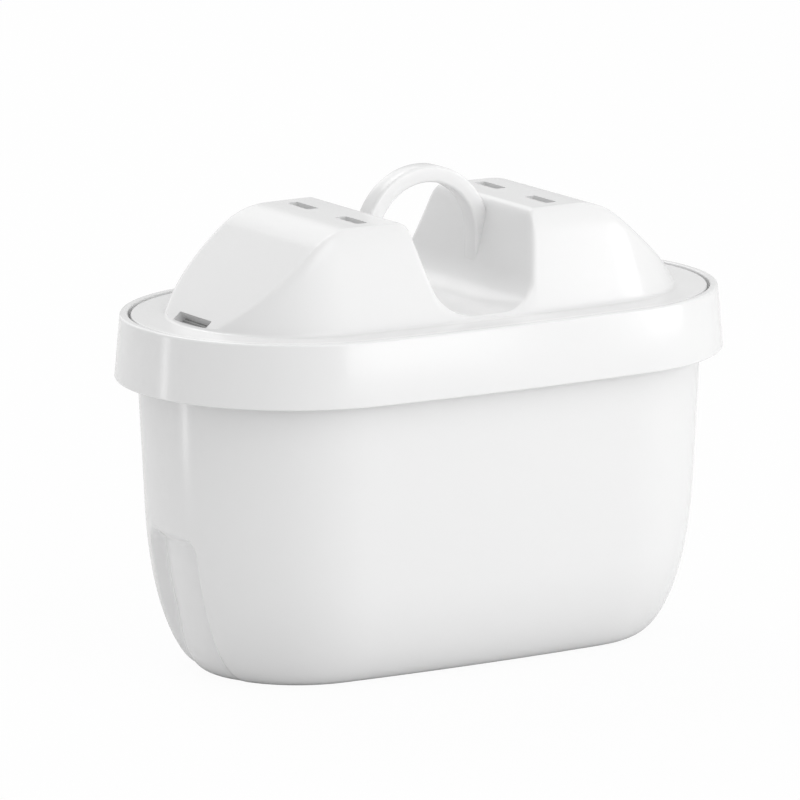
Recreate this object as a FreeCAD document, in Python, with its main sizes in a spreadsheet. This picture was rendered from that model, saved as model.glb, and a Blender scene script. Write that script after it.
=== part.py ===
import FreeCAD, Part
import math
import os

import Sketcher

# Water pitcher filter cartridge, in millimetres.
# X runs along the long side, Y across it and Z up, with the origin in the middle of the base.
# A drafted cup with a hanging collar holds the filter beds. The lid welded into its rim is one
# moulding: two hollow humps with sloping ends, a finger hollow between them and a pull ring over it.

DIMENSIONS = {
    # Collar round the rim, measured over the lower edge of its skirt
    "collar_length": 106.0,
    "collar_width": 59.4,
    "rim_height": 58.2,
    "skirt_drop": 10.4,
    "skirt_flare": 0.92,
    "skirt_wall": 1.3,
    "ledge_wall": 1.6,
    "side_bow": 0.7,
    # Cup, measured level with the lower edge of the skirt
    "cup_length": 98.4,
    "cup_width": 52.9,
    "cup_draft": 2.8,
    "cup_wall": 1.4,
    "base_wall": 1.6,
    "end_round_depth": 8.7,
    "end_round_height": 26.6,
    "side_round_depth": 9.0,
    "side_round_height": 16.1,
    # Grip recess low in each end of the cup
    "recess_width": 15.0,
    "recess_height": 25.0,
    "recess_corner": 3.5,
    "recess_depth": 1.6,
    "recess_floor_radius": 12.0,
    # Outlet slots through the base
    "outlet_count": 7,
    "outlet_width": 1.6,
    "outlet_length": 16.0,
    "outlet_pitch": 4.4,
    # Flange of the lid in the seat of the rim
    "flange_thickness": 1.7,
    "flange_gap": 0.45,
    "flange_sink": 0.2,
    "locating_rib_wall": 1.2,
    "locating_rib_drop": 3.0,
    "locating_rib_clearance": 0.3,
    # Dome of the lid
    "dome_length": 90.0,
    "dome_width": 42.4,
    "dome_lean": 21.5,
    "dome_rise": 15.7,
    "shoulder_radius": 2.6,
    "lid_wall": 1.6,
    "ramp_foot_span": 87.4,
    "ramp_angle": 40.9,
    "ramp_blend": 11.5,
    # Finger hollow across the dome
    "hollow_width": 23.4,
    "hollow_lean": 13.7,
    "hollow_depth": 15.0,
    "hollow_corner": 6.5,
    "hollow_edge": 0.9,
    # Pull ring over the hollow
    "ring_outer_radius": 11.9,
    "ring_inner_radius": 9.2,
    "ring_depth": 3.8,
    "ring_centre_drop": 5.7,
    "ring_leg_drop": 6.0,
    # Vent slots in the plateaus and inlet windows at the feet of the ramps
    "vent_width": 2.1,
    "vent_length": 6.8,
    "vent_pitch_along": 35.8,
    "vent_pitch_across": 15.2,
    "window_width": 10.0,
    "window_height": 1.9,
    # Screens and fleeces
    "screen_thickness": 0.4,
    "screen_margin": 1.0,
    "inlet_screen_side_margin": 0.8,
    "inlet_screen_low_margin": 0.3,
    "fleece_thickness": 1.6,
    "resin_depth": 25.0,
    "headspace_depth": 8.5,
}

# Counts of loft sections, lengths that only need to reach past the walls they cut, and how near
# two places lie when they count as the same
FOOT_SECTION_COUNT = 9
ROOM_SECTION_COUNT = 5
FLOOR_SECTION_COUNT = 9
SHOULDER_SECTION_COUNT = 5
REACH = 1.0
BEYOND = 10.0
FAR = 200.0
SAME = 1e-6
BEYOND_EDGE = 1e-3


def fill_sheet(document):
    """Puts every dimension in the sheet, one to a row, under its own name."""
    sheet = document.addObject("Spreadsheet::Sheet", "dims")
    sheet.Label = "Dimensions"
    for row, (name, value) in enumerate(DIMENSIONS.items(), start=1):
        sheet.set(f"A{row}", name)
        sheet.set(f"B{row}", str(value))
        sheet.setAlias(f"B{row}", name)
    document.recompute()
    return sheet


doc = FreeCAD.newDocument("FilterCartridge")
dims = fill_sheet(doc)


def number(expression):
    """The present value of an expression in the sheet's dimensions."""
    return float(dims.evalExpression(str(expression)))


def origin_plane(body, role):
    return next(item for item in body.Origin.OriginFeatures if item.Role == role)


def new_body(label):
    body = doc.addObject("PartDesign::Body", "Body")
    body.Label = label
    return body


def new_sketch(body, label, role, offset="0"):
    """An empty sketch on one of the body's planes, lifted off it by an expression."""
    sketch = body.newObject("Sketcher::SketchObject", "Sketch")
    sketch.Label = label
    sketch.AttachmentSupport = [(origin_plane(body, role), "")]
    sketch.MapMode = "FlatFace"
    sketch.AttachmentOffset = FreeCAD.Placement(FreeCAD.Vector(0, 0, number(offset)), FreeCAD.Rotation())
    sketch.setExpression("AttachmentOffset.Base.z", str(offset))
    return sketch


def bind(sketch, kind, elements, expression):
    """Adds a driving dimension whose value follows an expression."""
    value = number(expression)
    if kind == "Angle":
        value = math.radians(value)
    index = sketch.addConstraint(Sketcher.Constraint(kind, *elements, value))
    sketch.setExpression(f"Constraints[{index}]", str(expression))


def oval_sketch(body, label, height, half_length, half_width, end_radius):
    """A long oval: round ends joined by sides that bow out a little and meet them smoothly."""
    sketch = new_sketch(body, label, "XY_Plane", height)
    a, b, r = number(half_length), number(half_width), number(end_radius)
    reach = a - r
    side = (reach**2 + b**2 - r**2) / (2 * (b - r))
    joint = math.atan2(side - b, reach)
    up = FreeCAD.Vector(0, 0, 1)

    def arc(x, y, radius, start, end):
        return Part.ArcOfCircle(Part.Circle(FreeCAD.Vector(x, y, 0), up, radius), start, end)

    sketch.addGeometry([
        arc(reach, 0, r, -joint, joint),
        arc(0, b - side, side, joint, math.pi - joint),
        arc(-reach, 0, r, math.pi - joint, math.pi + joint),
        arc(0, side - b, side, math.pi + joint, 2 * math.pi - joint),
    ], False)
    rule = Sketcher.Constraint
    sketch.addConstraint([
        rule("Tangent", 0, 2, 1, 1),
        rule("Coincident", 1, 2, 2, 1),
        rule("Coincident", 2, 2, 3, 1),
        rule("Coincident", 3, 2, 0, 1),
        rule("Symmetric", 0, 2, 1, 2, -2),
        rule("Symmetric", 0, 2, 0, 1, -1),
        rule("Symmetric", 1, 2, 2, 2, -1),
        rule("Equal", 0, 2),
        rule("Equal", 1, 3),
    ])
    reach_rule = f"({half_length}) - ({end_radius})"
    bow_share = f"(2 * (({half_width}) - ({end_radius})))"
    bow_rule = f"(({reach_rule})^2 + ({half_width})^2 - ({end_radius})^2) / {bow_share}"
    bind(sketch, "Radius", (0,), end_radius)
    bind(sketch, "DistanceX", (-1, 1, 0, 3), reach_rule)
    bind(sketch, "DistanceY", (1, 3, -1, 1), f"{bow_rule} - ({half_width})")
    return sketch


def polygon_sketch(body, label, role, corners, offset="0"):
    """A closed outline of straight lines, each corner held at its own pair of expressions."""
    sketch = new_sketch(body, label, role, offset)
    points = [FreeCAD.Vector(number(x), number(y), 0) for x, y in corners]
    count = len(points)
    lines = [Part.LineSegment(points[i], points[(i + 1) % count]) for i in range(count)]
    sketch.addGeometry(lines, False)
    for i in range(count):
        sketch.addConstraint(Sketcher.Constraint("Coincident", i, 2, (i + 1) % count, 1))
    for i, (x, y) in enumerate(corners):
        hold_point(sketch, i, 1, x, y)
    return sketch


def hold_point(sketch, element, point, x, y):
    """Fixes a sketch point at two expressions, on an axis where its value there is nought."""
    for kind, expression, axis in (("DistanceX", x, -2), ("DistanceY", y, -1)):
        if str(expression) == "0":
            sketch.addConstraint(Sketcher.Constraint("PointOnObject", element, point, axis))
        else:
            bind(sketch, kind, (-1, 1, element, point), expression)


def loft(body, label, sketches, cut=False):
    kind = "PartDesign::SubtractiveLoft" if cut else "PartDesign::AdditiveLoft"
    feature = body.newObject(kind, "Loft")
    feature.Label = label
    feature.Profile = sketches[0]
    feature.Sections = sketches[1:]
    feature.Ruled = True
    return feature


def pad(body, label, sketch, length, midplane=False, cut=False):
    feature = body.newObject("PartDesign::Pocket" if cut else "PartDesign::Pad", "Pad")
    feature.Label = label
    feature.Profile = sketch
    feature.setExpression("Length", str(length))
    feature.Midplane = midplane
    return feature


def combine(kind, label, *shapes):
    """A Part boolean of whole shapes: Cut takes two, Fuse and Common any number."""
    if kind == "Cut":
        feature = doc.addObject("Part::Cut", "Cut")
        feature.Base, feature.Tool = shapes
    else:
        feature = doc.addObject(f"Part::Multi{kind}", kind)
        feature.Shapes = list(shapes)
    feature.Label = label
    feature.Refine = True
    return feature


def mirrored_copy(label, source):
    """The same shape at the other end of the cartridge."""
    feature = doc.addObject("Part::Mirroring", "Mirror")
    feature.Label = label
    feature.Source = source
    feature.Base = FreeCAD.Vector(0, 0, 0)
    feature.Normal = FreeCAD.Vector(1, 0, 0)
    return feature


# Levels that several pieces share
SKIRT_EDGE = "(dims.rim_height - dims.skirt_drop)"
FLANGE_TOP = "(dims.rim_height - dims.flange_sink)"
LEDGE = f"({FLANGE_TOP} - dims.flange_thickness)"
CHANNEL_ROOF = f"({LEDGE} - dims.ledge_wall)"
PLATEAU = f"({FLANGE_TOP} + dims.dome_rise)"
DRAFT = "tan(dims.cup_draft)"


def rim_oval(body, label, height, inset):
    """The collar's outline brought in all round."""
    return oval_sketch(body, label, height, f"dims.collar_length / 2 - ({inset})",
                       f"dims.collar_width / 2 - ({inset})",
                       f"dims.collar_width / 2 - dims.side_bow - ({inset})")


def cup_oval(body, label, height, wall="0", end_inset="0", side_inset="0"):
    """The cup's outline at a height: drafted, less its wall and the rounding of its foot."""
    draft = f"{DRAFT} * ({SKIRT_EDGE} - ({height})) + ({wall})"
    half_width = f"dims.cup_width / 2 - ({draft}) - ({side_inset})"
    return oval_sketch(body, label, height, f"dims.cup_length / 2 - ({draft}) - ({end_inset})",
                       half_width, f"{half_width} - dims.side_bow")


def foot_rounding(level, wall="0", floor="0"):
    """How far the foot's two elliptical roundings bring in the ends and the sides at a level."""
    insets = []
    for depth, rise in (("end_round_depth", "end_round_height"), ("side_round_depth", "side_round_height")):
        share = f"(dims.{rise} - ({level})) / (dims.{rise} - ({floor}))"
        curve = f"(dims.{depth} - ({wall})) * (1 - sqrt(1 - ({share})^2))"
        insets.append(f"(({level}) < dims.{rise} ? {curve} : 0)")
    return insets


def foot_levels(count, floor="0"):
    """Levels up the end's quarter ellipse, even in its angle, so closer together near the floor."""
    return [f"(dims.end_round_height - (dims.end_round_height - ({floor})) * cos({90 * i / (count - 1)}))"
            for i in range(count)]


def cup_block(label, count, wall="0", floor="0"):
    """The solid that the cup's outer or inner wall encloses, up to the lid's ledge."""
    body = new_body(label)
    sections = []
    for level in foot_levels(count, floor):
        end_inset, side_inset = foot_rounding(level, wall, floor)
        sections.append(cup_oval(body, "foot_outline", level, wall, end_inset, side_inset))
    loft(body, "rounded_foot", sections)
    rise = [cup_oval(body, "wall_outline", level, wall) for level in ("dims.end_round_height", LEDGE)]
    loft(body, "drafted_wall", rise)
    return body


def floor_centre(level):
    """Where the rounded floor of a recess has its centre, behind the foot's profile at a level."""
    end_inset, _ = foot_rounding(level)
    return (f"(dims.cup_length / 2 - {DRAFT} * ({SKIRT_EDGE} - ({level})) - ({end_inset})"
            f" - dims.recess_depth - dims.recess_floor_radius)")


def recess_arches():
    """The outline of the grip recesses, cut through both ends along X."""
    half_width = "dims.recess_width / 2"
    root = "dims.cup_length / 2 - dims.end_round_depth - dims.recess_floor_radius"
    arch = new_body("recess_arch")
    outline = polygon_sketch(arch, "arch_outline", "YZ_Plane", [
        (f"-{half_width}", -REACH), (half_width, -REACH),
        (half_width, "dims.recess_height"), (f"-{half_width}", "dims.recess_height")], root)
    block = pad(arch, "arch_block", outline, "dims.recess_floor_radius * 2")
    doc.recompute()
    top, side = number("dims.recess_height"), number(half_width)
    corners = []
    for index, edge in enumerate(block.Shape.Edges, start=1):
        middle = edge.CenterOfMass
        if abs(middle.z - top) < SAME and abs(abs(middle.y) - side) < SAME:
            corners.append(f"Edge{index}")
    rounding = arch.newObject("PartDesign::Fillet", "Fillet")
    rounding.Label = "arch_corners"
    rounding.Base = (block, corners)
    rounding.setExpression("Radius", "dims.recess_corner")
    return at_both_ends("recess_arches", arch)


def recess_floors():
    """Rounded columns that stand in both recesses and follow the foot's profile down to the base."""
    column = new_body("recess_column")
    rounds = [circle_sketch(column, "floor_round", level, floor_centre(level), "dims.recess_floor_radius")
              for level in foot_levels(FLOOR_SECTION_COUNT)]
    loft(column, "floor_column", rounds)
    return at_both_ends("recess_floors", column)


def with_recesses(label, block):
    """The block less both arches, with as much of the floor columns put back as it held there."""
    arches = recess_arches()
    taken = combine("Common", f"{label}_taken", block, arches)
    kept = combine("Common", f"{label}_kept", taken, recess_floors())
    return combine("Fuse", label, combine("Cut", f"{label}_open", block, arches), kept)


def recess_backs():
    """What narrows the room behind both recesses: flat, a wall behind the deepest line of each floor."""
    body = new_body("recess_back")
    deepest = "sqrt(dims.recess_floor_radius^2 - (dims.recess_width / 2)^2)"
    top = "(dims.recess_height + dims.cup_wall)"
    far_end = "dims.cup_length / 2"
    levels = [f"{step / (FLOOR_SECTION_COUNT - 1)} * {top}" for step in range(FLOOR_SECTION_COUNT)]
    face = [(f"{floor_centre(level)} + {deepest} - dims.cup_wall", level) for level in levels]
    corners = [(face[0][0], -REACH), *face[1:], (far_end, top), (far_end, -REACH)]
    outline = polygon_sketch(body, "back_outline", "XZ_Plane", corners)
    pad(body, "back_wedge", outline, "dims.recess_width + 2 * dims.cup_wall", midplane=True)
    return at_both_ends("recess_backs", body)


def circle_sketch(body, label, height, x, radius):
    sketch = new_sketch(body, label, "XY_Plane", height)
    centre = FreeCAD.Vector(number(x), 0, 0)
    sketch.addGeometry(Part.Circle(centre, FreeCAD.Vector(0, 0, 1), number(radius)), False)
    hold_point(sketch, 0, 3, x, "0")
    bind(sketch, "Radius", (0,), radius)
    return sketch


def at_both_ends(label, source):
    """A shape made for the +X end, with its mirror image at the other."""
    return combine("Fuse", label, source, mirrored_copy(f"{label}_mirrored", source))


def add_outlets(body):
    """Bars down through the base, in a row along X, that cut the outlet slots."""
    first = "-(dims.outlet_count - 1) * dims.outlet_pitch / 2"
    half_width, half_length = "dims.outlet_width / 2", "dims.outlet_length / 2"
    outline = polygon_sketch(body, "outlet_outline", "XY_Plane", [
        (f"{first} - {half_width}", f"-{half_length}"), (f"{first} + {half_width}", f"-{half_length}"),
        (f"{first} + {half_width}", half_length), (f"{first} - {half_width}", half_length)],
        -REACH)
    bar = pad(body, "outlet_bar", outline, f"dims.base_wall + {2 * REACH}")
    row = body.newObject("PartDesign::LinearPattern", "LinearPattern")
    row.Label = "outlet_row"
    row.Originals = [bar]
    row.Direction = (outline, ["H_Axis"])
    row.setExpression("Length", "(dims.outlet_count - 1) * dims.outlet_pitch")
    row.setExpression("Occurrences", "dims.outlet_count")
    body.Tip = row


def make_collar():
    """The rim and its flared skirt, open below round the cup, with the seat for the lid on top."""
    body = new_body("collar")
    flare = f"dims.skirt_flare * ({CHANNEL_ROOF} - {SKIRT_EDGE}) / dims.skirt_drop"
    loft(body, "collar_block", [
        rim_oval(body, "skirt_edge", SKIRT_EDGE, "0"),
        rim_oval(body, "rim_edge", "dims.rim_height", "dims.skirt_flare")])
    loft(body, "skirt_channel", [
        rim_oval(body, "channel_mouth", SKIRT_EDGE, "dims.skirt_wall"),
        rim_oval(body, "channel_roof", CHANNEL_ROOF, f"dims.skirt_wall + {flare}")], cut=True)
    seat = rim_oval(body, "seat_outline", "dims.rim_height", "dims.skirt_flare + dims.skirt_wall")
    pad(body, "lid_seat", seat, f"dims.rim_height - {LEDGE}", cut=True)
    return body


def make_cup(inside):
    shell = with_recesses("recessed_cup", cup_block("cup_block", FOOT_SECTION_COUNT))
    return combine("Cut", "cup", combine("Fuse", "cup_outside", make_collar(), shell), inside)


def make_inside():
    """The room in the cup, narrowed by the backs of the recesses, with the outlets below it."""
    room = cup_block("cup_room", ROOM_SECTION_COUNT, "dims.cup_wall", "dims.base_wall")
    add_outlets(room)
    return combine("Cut", "cup_inside", room, recess_backs())


def trough_sketch(body, label, start, angle, level, radius, ceiling=None):
    """A symmetric outline across X: a slope from the start, a round bend, then a level stretch.

    With a ceiling, the outline closes above the slopes instead of straight between their starts.
    """
    sketch = new_sketch(body, label, "XZ_Plane")
    x, z, flat, bend = number(start[0]), number(start[1]), number(level), number(radius)
    lean = math.radians(number(angle))
    rising = lean > 0
    knee = x + (flat - z) / math.tan(lean)
    reach = bend * math.tan(abs(lean) / 2)
    centre_z = flat - bend if rising else flat + bend
    point = FreeCAD.Vector
    slope_end = point(knee - reach * math.cos(lean), flat - reach * math.sin(lean), 0)
    flat_start = point(knee + reach, flat, 0)
    circle = Part.Circle(point(flat_start.x, centre_z, 0), point(0, 0, 1), bend)
    turn = abs(lean)
    down, up_angle = -math.pi / 2, math.pi / 2
    left = (up_angle, up_angle + turn) if rising else (down - turn, down)
    right = (up_angle - turn, up_angle) if rising else (down, down + turn)
    other = Part.Circle(point(-flat_start.x, centre_z, 0), point(0, 0, 1), bend)

    def across(place):
        return point(-place.x, place.y, 0)

    begin = point(x, z, 0)
    lines = [
        Part.LineSegment(begin, slope_end),
        Part.ArcOfCircle(circle, *left),
        Part.LineSegment(flat_start, across(flat_start)),
        Part.ArcOfCircle(other, *right),
        Part.LineSegment(across(slope_end), across(begin)),
    ]
    corners = [across(begin)]
    if ceiling is not None:
        corners += [point(-x, number(ceiling), 0), point(x, number(ceiling), 0)]
    corners.append(begin)
    lines += [Part.LineSegment(a, b) for a, b in zip(corners, corners[1:])]
    sketch.addGeometry(lines, False)

    rule = Sketcher.Constraint
    near, far = (2, 1) if rising else (1, 2)
    sketch.addConstraint([
        rule("Tangent", 0, 2, 1, near),
        rule("Tangent", 1, far, 2, 1),
        rule("Tangent", 2, 2, 3, near if rising else 1),
        rule("Tangent", 3, far if rising else 2, 4, 1),
        rule("Horizontal", 2),
        rule("Symmetric", 0, 1, 4, 2, -2),
        rule("Symmetric", 0, 2, 4, 1, -2),
    ])
    for first in range(4, len(lines) - 1):
        sketch.addConstraint(rule("Coincident", first, 2, first + 1, 1))
    sketch.addConstraint(rule("Coincident", len(lines) - 1, 2, 0, 1))
    hold_point(sketch, 0, 1, *start)
    bind(sketch, "Angle", (0,), angle)
    bind(sketch, "DistanceY", (-1, 1, 2, 1), level)
    bind(sketch, "Radius", (1,), radius)
    if ceiling is not None:
        sketch.addConstraint(rule("Vertical", 5))
        sketch.addConstraint(rule("Horizontal", 6))
        sketch.addConstraint(rule("Vertical", 7))
        bind(sketch, "DistanceY", (-1, 1, 5, 2), ceiling)
    return sketch


def dome_oval(body, label, height, inset):
    """The dome's outline brought in all round from its foot on the flange."""
    return oval_sketch(body, label, height, f"dims.dome_length / 2 - ({inset})",
                       f"dims.dome_width / 2 - ({inset})",
                       f"dims.dome_width / 2 - dims.side_bow - ({inset})")


def dome_block(label, wall="0"):
    """Both humps with the hollow between them, as the outer or the inner wall encloses them."""
    body = new_body(label)
    ceiling = f"{PLATEAU} - ({wall})"
    foot_inset = f"tan(dims.dome_lean) * ({LEDGE} - {FLANGE_TOP}) + ({wall}) / cos(dims.dome_lean)"
    centre_inset = (f"tan(dims.dome_lean) * (dims.dome_rise - dims.shoulder_radius)"
                    f" + dims.shoulder_radius / cos(dims.dome_lean)")
    radius = f"(dims.shoulder_radius - ({wall}))"
    shoulder = []
    for step in range(SHOULDER_SECTION_COUNT):
        turn = f"(dims.dome_lean + {step / (SHOULDER_SECTION_COUNT - 1)} * (90 - dims.dome_lean))"
        shoulder.append(dome_oval(body, "shoulder_outline", f"{ceiling} - {radius} * (1 - sin({turn}))",
                                  f"{centre_inset} - {radius} * cos({turn})"))
    foot = dome_oval(body, "dome_foot", LEDGE, foot_inset)
    loft(body, "leaning_flank", [foot, shoulder[0]])
    loft(body, "round_shoulder", shoulder)

    ramp_start = (f"-(dims.ramp_foot_span / 2 - ({wall}) / sin(dims.ramp_angle) + {BEYOND})",
                  f"{FLANGE_TOP} - {BEYOND} * tan(dims.ramp_angle)")
    ramps = trough_sketch(body, "ramp_profile", ramp_start, "dims.ramp_angle", ceiling,
                          f"dims.ramp_blend - ({wall})", f"{PLATEAU} + {BEYOND}")
    pad(body, "ramps", ramps, FAR, midplane=True, cut=True)
    hollow_start = (f"-(dims.hollow_width / 2 + ({wall}) / cos(dims.hollow_lean)"
                    f" + {BEYOND} * tan(dims.hollow_lean))", f"{PLATEAU} + {BEYOND}")
    hollow = trough_sketch(body, "hollow_profile", hollow_start, "dims.hollow_lean - 90",
                           f"{PLATEAU} - dims.hollow_depth - ({wall})", f"dims.hollow_corner + ({wall})")
    pad(body, "finger_hollow", hollow, FAR, midplane=True, cut=True)
    return body


def runs_across(face, point):
    """Whether a face is drawn out along Y, as the ramps, plateaus and hollow are."""
    return abs(face.normalAt(*face.Surface.parameter(point)).y) < SAME


def soften_hollow(body):
    """Breaks the edge round the mouth of the finger hollow, along both flanks and both plateaus."""
    doc.recompute()
    cut = body.Tip
    reach = number("dims.hollow_width / 2") + BEYOND_EDGE
    mouth = []
    for index, edge in enumerate(cut.Shape.Edges, start=1):
        middle = edge.valueAt((edge.FirstParameter + edge.LastParameter) / 2)
        faces = cut.Shape.ancestorsOfType(edge, Part.Face)
        if middle.z < number(FLANGE_TOP) or abs(middle.x) > reach or len(faces) != 2:
            continue
        drawn = [runs_across(face, middle) for face in faces]
        at_brow = all(drawn) and abs(middle.z - number(PLATEAU)) < SAME
        if drawn[0] != drawn[1] or at_brow:
            mouth.append(f"Edge{index}")
    chamfer = body.newObject("PartDesign::Chamfer", "Chamfer")
    chamfer.Label = "hollow_mouth"
    chamfer.Base = (cut, mouth)
    chamfer.setExpression("Size", "dims.hollow_edge")
    return body


def make_flange():
    """The flange in the rim's seat, with the locating rib that drops into the cup's mouth."""
    body = new_body("flange")
    inset = "dims.skirt_flare + dims.skirt_wall + dims.flange_gap"
    pad(body, "flange_plate", rim_oval(body, "flange_outline", LEDGE, inset), "dims.flange_thickness")
    wall = "dims.cup_wall + dims.locating_rib_clearance"
    block = cup_oval(body, "rib_outline", f"{LEDGE} - dims.locating_rib_drop", wall)
    pad(body, "rib_block", block, "dims.locating_rib_drop")
    opening = cup_oval(body, "rib_opening", LEDGE, f"{wall} + dims.locating_rib_wall")
    pad(body, "rib_mouth", opening, f"dims.locating_rib_drop + {REACH}", cut=True)
    return body


def make_ring():
    """The pull ring: half a hoop over the hollow, on two legs that end inside its walls."""
    body = new_body("ring")
    centre = f"({PLATEAU} - dims.ring_centre_drop)"
    foot = f"{centre} - dims.ring_leg_drop"
    sketch = new_sketch(body, "ring_outline", "XZ_Plane")
    outer, inner = number("dims.ring_outer_radius"), number("dims.ring_inner_radius")
    height, bottom = number(centre), number(foot)
    point = FreeCAD.Vector
    normal = point(0, 0, 1)
    middle = point(0, height, 0)
    sketch.addGeometry([
        Part.ArcOfCircle(Part.Circle(middle, normal, outer), 0, math.pi),
        Part.LineSegment(point(-outer, height, 0), point(-outer, bottom, 0)),
        Part.LineSegment(point(-outer, bottom, 0), point(-inner, bottom, 0)),
        Part.LineSegment(point(-inner, bottom, 0), point(-inner, height, 0)),
        Part.ArcOfCircle(Part.Circle(middle, normal, inner), 0, math.pi),
        Part.LineSegment(point(inner, height, 0), point(inner, bottom, 0)),
        Part.LineSegment(point(inner, bottom, 0), point(outer, bottom, 0)),
        Part.LineSegment(point(outer, bottom, 0), point(outer, height, 0)),
    ], False)
    rule = Sketcher.Constraint
    sketch.addConstraint([
        rule("Coincident", 0, 2, 1, 1), rule("Coincident", 1, 2, 2, 1), rule("Coincident", 2, 2, 3, 1),
        rule("Coincident", 3, 2, 4, 2), rule("Coincident", 4, 1, 5, 1), rule("Coincident", 5, 2, 6, 1),
        rule("Coincident", 6, 2, 7, 1), rule("Coincident", 7, 2, 0, 1), rule("Coincident", 0, 3, 4, 3),
        rule("Vertical", 1), rule("Horizontal", 2), rule("Vertical", 3),
        rule("Vertical", 5), rule("Horizontal", 6), rule("Vertical", 7),
        rule("Horizontal", 0, 1, 0, 3), rule("Horizontal", 0, 2, 0, 3),
        rule("Horizontal", 4, 1, 4, 3), rule("Horizontal", 4, 2, 4, 3),
        rule("Horizontal", 2, 1, 6, 1),
    ])
    hold_point(sketch, 0, 3, "0", centre)
    bind(sketch, "Radius", (0,), "dims.ring_outer_radius")
    bind(sketch, "Radius", (4,), "dims.ring_inner_radius")
    bind(sketch, "DistanceY", (-1, 1, 2, 1), foot)
    pad(body, "ring_band", sketch, "dims.ring_depth", midplane=True)
    return body


def box(label, length, width, height, x, y, z, tilt="0"):
    """A box centred across Y on the given place, turned up from the level about Y."""
    feature = doc.addObject("Part::Box", "Box")
    feature.Label = label
    for name, expression in (("Length", length), ("Width", width), ("Height", height),
                             ("Placement.Base.x", x), ("Placement.Base.y", f"({y}) - ({width}) / 2"),
                             ("Placement.Base.z", z)):
        feature.setExpression(name, str(expression))
    feature.Placement.Rotation = FreeCAD.Rotation(FreeCAD.Vector(0, -1, 0), number(tilt))
    feature.setExpression("Placement.Rotation.Angle", str(tilt))
    return feature


def ramp_box(label, width, along, thickness, depth):
    """A box laid on the left ramp at its foot: how far it goes up the slope and into the wall."""
    start, end = along
    x = f"-dims.ramp_foot_span / 2 + ({start}) * cos(dims.ramp_angle) + ({depth}) * sin(dims.ramp_angle)"
    z = f"{FLANGE_TOP} + ({start}) * sin(dims.ramp_angle) - ({depth}) * cos(dims.ramp_angle)"
    return box(label, f"({end}) - ({start})", width, thickness, x, "0", z, "dims.ramp_angle")


def make_lid():
    """Flange, humps and ring as one moulding, hollow underneath, with its vents and windows."""
    dome = soften_hollow(dome_block("dome_block"))
    room = dome_block("dome_room", "dims.lid_wall")
    vents = []
    for along in (-1, 1):
        for across in (-1, 1):
            vents.append(box("vent", "dims.vent_width", "dims.vent_length", f"dims.lid_wall + {2 * REACH}",
                             f"{along} * dims.vent_pitch_along / 2 - dims.vent_width / 2",
                             f"{across} * dims.vent_pitch_across / 2",
                             f"{PLATEAU} - dims.lid_wall - {REACH}"))
    window = ramp_box("window", "dims.window_width", ("0", "dims.window_height"),
                      f"dims.lid_wall + {2 * REACH}", f"dims.lid_wall + {REACH}")
    solid = combine("Fuse", "lid_solid", make_flange(), dome, make_ring())
    openings = combine("Fuse", "lid_openings", room, *vents, at_both_ends("windows", window))
    return combine("Cut", "lid", solid, openings)


def make_screens():
    """Mesh panels on the inside of the lid, under the vents and behind the windows."""
    screens = []
    for side, along in (("left", -1), ("right", 1)):
        width = "(dims.vent_width + 2 * dims.screen_margin)"
        screens.append(box(f"vent_screen_{side}", width,
                           "dims.vent_pitch_across + dims.vent_length + 2 * dims.screen_margin",
                           "dims.screen_thickness", f"{along} * dims.vent_pitch_along / 2 - {width} / 2", "0",
                           f"{PLATEAU} - dims.lid_wall - dims.screen_thickness"))
    left = ramp_box("inlet_screen_left", "dims.window_width + 2 * dims.inlet_screen_side_margin",
                    ("-dims.inlet_screen_low_margin", "dims.window_height + dims.screen_margin"),
                    "dims.screen_thickness", "dims.lid_wall + dims.screen_thickness")
    screens += [left, mirrored_copy("inlet_screen_right", left)]
    return screens


def slab(label, inside, floor, depth):
    """What fills the cup between two levels."""
    block = box(f"{label}_span", FAR, FAR, depth, -FAR / 2, "0", floor)
    return combine("Common", label, inside, block)


def make_filling(inside):
    """The outlet screen, then resin, fleece, carbon and fleece, each lying on the one below.

    The carbon takes what the other layers leave under the headspace, which ends at the lid's rib.
    """
    row = "((dims.outlet_count - 1) * dims.outlet_pitch + dims.outlet_width + 2 * dims.screen_margin)"
    screen = box("outlet_screen", row, "dims.outlet_length + 2 * dims.screen_margin",
                 "dims.screen_thickness", f"-{row} / 2", "0", "dims.base_wall")
    pieces = [screen]
    floor = "dims.base_wall"
    top = f"{LEDGE} - dims.locating_rib_drop - dims.headspace_depth"
    carbon_depth = f"({top} - {floor} - dims.resin_depth - 2 * dims.fleece_thickness)"
    for label, depth in (("resin_bed", "dims.resin_depth"), ("divider_fleece", "dims.fleece_thickness"),
                         ("carbon_bed", carbon_depth), ("upper_fleece", "dims.fleece_thickness")):
        layer = slab("resin_span" if label == "resin_bed" else label, inside, floor, depth)
        pieces.append(combine("Cut", label, layer, screen) if label == "resin_bed" else layer)
        floor = f"{floor} + {depth}"
    return pieces


def check_document():
    """Stops the build where a feature failed."""
    doc.recompute()
    failed = [item.Label for item in doc.Objects if {"Invalid", "Error"} & set(item.State)]
    if failed:
        raise RuntimeError(f"failed features: {failed}")


def write_parts(pieces):
    """Writes each piece to its own file, once all of them are sound."""
    for piece in pieces:
        if piece.Shape.isNull() or not piece.Shape.isValid() or len(piece.Shape.Solids) != 1:
            raise RuntimeError(f"{piece.Label} is not one sound solid")
    os.makedirs("parts", exist_ok=True)
    for piece in pieces:
        piece.Shape.exportStep(f"parts/{piece.Label}.step")
        print(f"{piece.Label}: {piece.Shape.Volume / 1000:.2f} cm3")


cup_inside = make_inside()
cup = make_cup(cup_inside)
pieces = [cup, make_lid(), *make_screens(), *make_filling(cup_inside)]
check_document()
write_parts(pieces)
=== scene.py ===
"""Water pitcher filter cartridge in white moulded plastic, in soft studio light.

Metres, Z up, the long side of the oval along X, the middle of the base at the origin.
"""

import math

import bmesh
import bpy
import numpy as np
from mathutils import Matrix, Vector


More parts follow.
